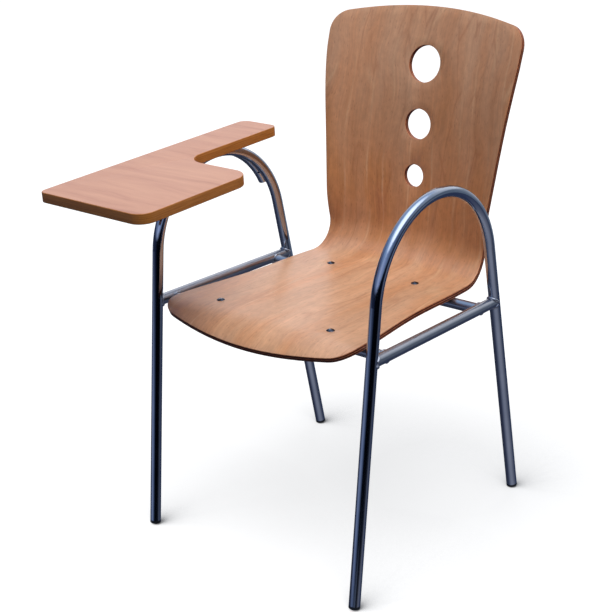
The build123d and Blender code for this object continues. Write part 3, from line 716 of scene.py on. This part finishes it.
bright_zinc, tree = start_material("bright_zinc_plate")
place = add(tree, "ShaderNodeTexCoord").outputs["Object"]
cloud = add(
    tree,
    "ShaderNodeTexNoise",
    {"Vector": place, "Scale": per_mm(ZINC_CLOUD), "Detail": 5.0, "Roughness": 0.6},
)
cloud_tone = add(
    tree, "ShaderNodeValToRGB", {"Fac": cloud.outputs["Fac"]}, stops=[(0.3, ZINC_GREY), (0.7, ZINC_BRIGHT)]
)
cloud_gloss = add(
    tree, "ShaderNodeMapRange", {"Value": cloud.outputs["Fac"], "To Min": 0.26, "To Max": 0.45}
)
drawn_map = add(
    tree, "ShaderNodeMapping", {"Vector": place, "Scale": tuple(per_mm(size) for size in DRAWING_LINES)}
)
drawn = add(tree, "ShaderNodeTexNoise", {"Vector": drawn_map.outputs[0], "Scale": 1.0, "Detail": 2.0})
drawn_relief = add(
    tree, "ShaderNodeBump", {"Height": drawn.outputs["Fac"], "Strength": 0.12, "Distance": 0.0001}
)
plated = add(
    tree,
    "ShaderNodeBsdfPrincipled",
    {
        "Base Color": cloud_tone.outputs["Color"],
        "Metallic": 1.0,
        "Roughness": cloud_gloss.outputs["Result"],
        "Normal": drawn_relief.outputs["Normal"],
    },
)
finish_material(tree, plated)
dress(["tablet_screws"], bright_zinc)

# ---------------------------------------------------------------------------------------------
# Black parts: the four foot glides and the end plug of the support tube are injection-moulded
# polyethylene, pressed into the tube ends, and the pad that the board rests on is a moulded
# rubber saddle on the right arch.

GLIDE_BLACK = "#131417"
GLIDE_SCUFF = "#3A3B3E"
SCUFF_HEIGHT = 0.004
SCRAPE = 1.2
MOULD_SKIN = 0.5

# Polyethylene: satin black with a faint moulded skin, scuffed grey and matt where it slides.
moulded_black, tree = start_material("moulded_black_polyethylene")
place = add(tree, "ShaderNodeTexCoord").outputs["Object"]
height = add(tree, "ShaderNodeSeparateXYZ", {"Vector": place}).outputs["Z"]
near_ground = add(
    tree,
    "ShaderNodeMapRange",
    {"Value": height, "From Min": 0.0, "From Max": SCUFF_HEIGHT, "To Min": 1.0, "To Max": 0.0},
)
scrape = add(
    tree, "ShaderNodeTexNoise", {"Vector": place, "Scale": per_mm(SCRAPE), "Detail": 5.0, "Roughness": 0.7}
)
scraped = add(
    tree, "ShaderNodeMapRange", {"Value": scrape.outputs["Fac"], "From Min": 0.45, "From Max": 0.6}
)
worn = add(
    tree,
    "ShaderNodeMath",
    {0: near_ground.outputs["Result"], 1: scraped.outputs["Result"]},
    operation="MULTIPLY",
)
worn_tone = add(
    tree, "ShaderNodeValToRGB", {"Fac": worn.outputs[0]}, stops=[(0.0, GLIDE_BLACK), (1.0, GLIDE_SCUFF)]
)
worn_gloss = add(tree, "ShaderNodeMapRange", {"Value": worn.outputs[0], "To Min": 0.36, "To Max": 0.7})
mould_skin = add(tree, "ShaderNodeTexNoise", {"Vector": place, "Scale": per_mm(MOULD_SKIN), "Detail": 2.0})
mould_relief = add(
    tree, "ShaderNodeBump", {"Height": mould_skin.outputs["Fac"], "Strength": 0.08, "Distance": 0.0001}
)
moulded = add(
    tree,
    "ShaderNodeBsdfPrincipled",
    {
        "Base Color": worn_tone.outputs["Color"],
        "Roughness": worn_gloss.outputs["Result"],
        "Normal": mould_relief.outputs["Normal"],
        "IOR": 1.51,
    },
)
finish_material(tree, moulded)
glides = [f"{side}_{end}_foot_glide" for side in ("left", "right") for end in ("front", "rear")]
dress(glides + ["support_tube_plug"], moulded_black)

# Rubber: matt black with a greyish bloom in patches and a slightly rough skin.
RUBBER_BLACK = "#0E0E0F"
RUBBER_BLOOM = "#242426"
BLOOM_PATCH = 4
RUBBER_SKIN = 0.6

soft_rubber, tree = start_material("moulded_black_rubber")
place = add(tree, "ShaderNodeTexCoord").outputs["Object"]
dust = add(
    tree,
    "ShaderNodeTexNoise",
    {"Vector": place, "Scale": per_mm(BLOOM_PATCH), "Detail": 5.0, "Roughness": 0.7},
)
dust_tone = add(
    tree,
    "ShaderNodeValToRGB",
    {"Fac": dust.outputs["Fac"]},
    stops=[(0.4, RUBBER_BLACK), (0.75, RUBBER_BLOOM)],
)
rubber_skin = add(tree, "ShaderNodeTexNoise", {"Vector": place, "Scale": per_mm(RUBBER_SKIN), "Detail": 3.0})
rubber_relief = add(
    tree, "ShaderNodeBump", {"Height": rubber_skin.outputs["Fac"], "Strength": 0.2, "Distance": 0.0002}
)
rubber = add(
    tree,
    "ShaderNodeBsdfPrincipled",
    {
        "Base Color": dust_tone.outputs["Color"],
        "Roughness": 0.72,
        "Normal": rubber_relief.outputs["Normal"],
        "IOR": 1.52,
    },
)
finish_material(tree, rubber)
dress(["tablet_rest_pad"], soft_rubber)

# ---------------------------------------------------------------------------------------------
# Stage: the surround of a small studio for the lacquered steel to mirror, a plain white sweep of
# paper as the floor, three softboxes and the camera.

TO_CORNER = Vector((0.6590, -0.7522, 0.0))
TO_CORNER_LEFT = Vector((-0.7522, -0.6590, 0.0))
CEILING = "#86A2C8"
CEILING_RISE = (0.58, 0.80)
TO_SOFTBOX = Vector((0.309, 0.006, 0.951))
SOFTBOX_SPREAD = (0.72, 0.955)
SOFTBOX_EDGE = (0.66, 0.78)
SOFTBOX_LIGHT = 1.1
MIRRORED_LIGHT = 1.8
MATT_LIGHT = 0.36

world = bpy.data.worlds.new("studio")
bpy.context.scene.world = world
world.use_nodes = True
sky = world.node_tree
sky.nodes.clear()
way = add(sky, "ShaderNodeTexCoord").outputs["Generated"]
height = add(sky, "ShaderNodeSeparateXYZ", {"Vector": way}).outputs["Z"]
ahead = add(sky, "ShaderNodeVectorMath", {0: way, 1: TO_CORNER}, operation="DOT_PRODUCT")
aside = add(sky, "ShaderNodeVectorMath", {0: way, 1: TO_CORNER_LEFT}, operation="DOT_PRODUCT")
bearing = add(
    sky, "ShaderNodeMath", {0: aside.outputs["Value"], 1: ahead.outputs["Value"]}, operation="ARCTAN2"
)
round_room = add(
    sky,
    "ShaderNodeMapRange",
    {"Value": bearing.outputs[0], "From Min": radians(-180), "From Max": radians(180)},
)

# Five rings of the room, from the floor below to the high walls: the heights between which each
# takes over from the one under it, and its tones once round the room. The chair's front left
# corner faces 0.5, and 0 and 1 are behind it.
room = None
for low_end, high_end, tones in (
    (
        None,
        None,
        [
            (0.0, "#2E333F"),
            (0.20, "#2C3650"),
            (0.33, "#646876"),
            (0.42, "#7C808E"),
            (0.52, "#7C808E"),
            (0.62, "#5A6072"),
            (0.70, "#2E3446"),
            (1.0, "#2E333F"),
        ],
    ),
    (
        -0.52,
        -0.44,
        [
            (0.0, "#3E4350"),
            (0.20, "#2E3850"),
            (0.31, "#444A58"),
            (0.36, "#161A26"),
            (0.47, "#0C1018"),
            (0.53, "#5A6478"),
            (0.61, "#66728C"),
            (0.68, "#3A4256"),
            (0.78, "#2A3042"),
            (1.0, "#3E4350"),
        ],
    ),
    (
        -0.37,
        -0.32,
        [
            (0.0, "#6C707C"),
            (0.20, "#5C6878"),
            (0.285, "#62687A"),
            (0.325, "#2A2E3A"),
            (0.345, "#030408"),
            (0.57, "#010206"),
            (0.605, "#34405A"),
            (0.66, "#5E6C8A"),
            (0.73, "#7683A2"),
            (0.80, "#4A5268"),
            (1.0, "#6C707C"),
        ],
    ),
    (
        -0.20,
        -0.10,
        [
            (0.0, "#A0A3AC"),
            (0.12, "#8A919C"),
            (0.20, "#5E6A7A"),
            (0.28, "#2A3246"),
            (0.34, "#10162A"),
            (0.40, "#03050A"),
            (0.56, "#03050A"),
            (0.63, "#161D32"),
            (0.75, "#20283C"),
            (0.86, "#2A3248"),
            (1.0, "#A0A3AC"),
        ],
    ),
    (
        0.12,
        0.26,
        [
            (0.0, "#CACDD6"),
            (0.14, "#D2D6DE"),
            (0.23, "#8A96A6"),
            (0.34, "#4C5A78"),
            (0.42, "#647694"),
            (0.50, "#8494BA"),
            (0.58, "#9FACCC"),
            (0.66, "#7080A0"),
            (0.76, "#526082"),
            (0.86, "#5E7498"),
            (1.0, "#CACDD6"),
        ],
    ),
):
    ring = add(sky, "ShaderNodeValToRGB", {"Fac": round_room.outputs["Result"]}, stops=tones).outputs["Color"]
    if room is None:
        room = ring
        continue
    rise = add(sky, "ShaderNodeMapRange", {"Value": height, "From Min": low_end, "From Max": high_end})
    mixed = {0: rise.outputs["Result"], 6: room, 7: ring}
    room = add(sky, "ShaderNodeMix", mixed, data_type="RGBA").outputs[2]

# Above them a pale ceiling, and in it the soft glow of the main softbox.
rise = add(
    sky, "ShaderNodeMapRange", {"Value": height, "From Min": CEILING_RISE[0], "From Max": CEILING_RISE[1]}
)
mixed = {0: rise.outputs["Result"], 6: room, 7: linear(CEILING)}
room = add(sky, "ShaderNodeMix", mixed, data_type="RGBA").outputs[2]
facing = add(sky, "ShaderNodeVectorMath", {0: way, 1: TO_SOFTBOX}, operation="DOT_PRODUCT").outputs["Value"]
in_softbox = add(
    sky, "ShaderNodeMapRange", {"Value": facing, "From Min": SOFTBOX_SPREAD[0], "From Max": SOFTBOX_SPREAD[1]}
)
over_edge = add(
    sky, "ShaderNodeMapRange", {"Value": height, "From Min": SOFTBOX_EDGE[0], "From Max": SOFTBOX_EDGE[1]}
)
softbox = add(
    sky,
    "ShaderNodeMath",
    {0: in_softbox.outputs["Result"], 1: over_edge.outputs["Result"]},
    operation="MULTIPLY",
)
glow = add(sky, "ShaderNodeMath", {0: softbox.outputs[0], 1: SOFTBOX_LIGHT}, operation="MULTIPLY")
room = add(sky, "ShaderNodeVectorMath", {0: room, 1: glow.outputs[0]}, operation="ADD").outputs[0]

# The steel mirrors the room at full strength, matt surfaces get less of it, and what shows
# behind the chair is plain white.
ray = add(sky, "ShaderNodeLightPath")
strength = add(
    sky,
    "ShaderNodeMapRange",
    {"Value": ray.outputs["Is Diffuse Ray"], "To Min": MIRRORED_LIGHT, "To Max": MATT_LIGHT},
)
room_light = add(sky, "ShaderNodeBackground", {"Color": room, "Strength": strength.outputs["Result"]})
plain_light = add(sky, "ShaderNodeBackground", {"Color": linear("#FFFFFF"), "Strength": 1.0})
by_ray = add(
    sky,
    "ShaderNodeMixShader",
    {0: ray.outputs["Is Camera Ray"], 1: room_light.outputs[0], 2: plain_light.outputs[0]},
)
add(sky, "ShaderNodeOutputWorld", {"Surface": by_ray.outputs[0]})

# White paper sweep: it glows to plain white, with a painted soft shadow under the chair and a
# painted contact shade at each foot that trails a little way back.
FLOOR_SIZE = 16
SHADOW_MIDDLE = (0.12, 0.20, 0.0)
SHADOW_REACH = (0.15, 0.60)
SHADOW_LEVEL = 0.75
CONTACT_LEAN = {"X": 0.0, "Y": -0.96, "Z": 0.28}
CONTACT_REACH = 0.32
CONTACT_SAMPLES = 16
PAPER_GREY = "#7A7A7A"

bpy.ops.mesh.primitive_plane_add(size=FLOOR_SIZE)
floor = bpy.context.active_object
floor.name = "floor"
floor.visible_glossy = False
floor.visible_diffuse = False
paper, tree = start_material("white_paper_sweep")
place = add(tree, "ShaderNodeTexCoord").outputs["Object"]
from_middle = add(tree, "ShaderNodeVectorMath", {0: place, 1: SHADOW_MIDDLE}, operation="SUBTRACT")
reach = add(tree, "ShaderNodeVectorMath", {0: from_middle.outputs[0]}, operation="LENGTH").outputs["Value"]
# Painted shadow under the chair: the glow dims within the given reach of its middle.
sweep_light = add(
    tree,
    "ShaderNodeMapRange",
    {
        "Value": reach,
        "From Min": SHADOW_REACH[0],
        "From Max": SHADOW_REACH[1],
        "To Min": SHADOW_LEVEL,
        "To Max": 1.0,
    },
)
# Painted contact shade: occlusion, leaning towards the front, dims the glow near each foot.
lean = add(tree, "ShaderNodeCombineXYZ", CONTACT_LEAN)
nearness = add(
    tree,
    "ShaderNodeAmbientOcclusion",
    {"Distance": CONTACT_REACH, "Normal": lean.outputs[0]},
    samples=CONTACT_SAMPLES,
)
contact = add(tree, "ShaderNodeValToRGB", {"Fac": nearness.outputs["AO"]}, stops=[(0.62, 0.1), (0.97, 1.0)])
paper_level = add(
    tree,
    "ShaderNodeMath",
    {0: sweep_light.outputs["Result"], 1: contact.outputs["Color"]},
    operation="MULTIPLY",
)
lit = add(tree, "ShaderNodeEmission", {"Color": linear("#FFFFFF"), "Strength": paper_level.outputs[0]})
matt = add(tree, "ShaderNodeBsdfDiffuse", {"Color": linear(PAPER_GREY)})
finish_material(tree, add(tree, "ShaderNodeAddShader", {0: lit.outputs[0], 1: matt.outputs[0]}))
floor.data.materials.append(paper)

# Three softboxes: the main one nearly overhead and towards the sitter's left, a weaker one above
# the front, and one behind the chair. Width in metres, power in watts, and place.
AIM = Vector((0.0, 0.0, 0.4))

for lamp_name, width, power, spot in (
    ("key_softbox", 2.6, 108, (1.55, -0.30, 3.95)),
    ("overhead_softbox", 2.8, 30, (0.30, -1.00, 4.2)),
    ("rear_softbox", 2.0, 34, (-1.2, 3.2, 2.0)),
):
    lamp = bpy.data.lights.new(lamp_name, "AREA")
    lamp.shape = "SQUARE"
    lamp.size = width
    lamp.energy = power
    stand = bpy.data.objects.new(lamp_name, lamp)
    stand.location = spot
    stand.visible_glossy = False
    stand.rotation_euler = (AIM - stand.location).to_track_quat("-Z", "Y").to_euler()
    bpy.context.scene.collection.objects.link(stand)

# The camera stands in front and to the sitter's left, above the back's top edge, and looks down.
CAMERA_LENS = 80.19
CAMERA_SENSOR = 36
CAMERA_REACH = 50
CAMERA_PLACE = (1.47201, -1.71195, 1.35206)
CAMERA_YAW = 0.7194
CAMERA_PITCH = 0.3948
CAMERA_ROLL = -0.0618

lens = bpy.data.cameras.new("camera")
lens.lens = CAMERA_LENS
lens.sensor_width = CAMERA_SENSOR
lens.clip_end = CAMERA_REACH
camera = bpy.data.objects.new("camera", lens)
camera.matrix_world = (
    Matrix.Translation(CAMERA_PLACE)
    @ Euler((radians(90) - CAMERA_PITCH, 0.0, CAMERA_YAW)).to_matrix().to_4x4()
    @ Matrix.Rotation(CAMERA_ROLL, 4, "Z")
)
bpy.context.scene.collection.objects.link(camera)
bpy.context.scene.camera = camera
bpy.context.scene.view_settings.view_transform = "Standard"
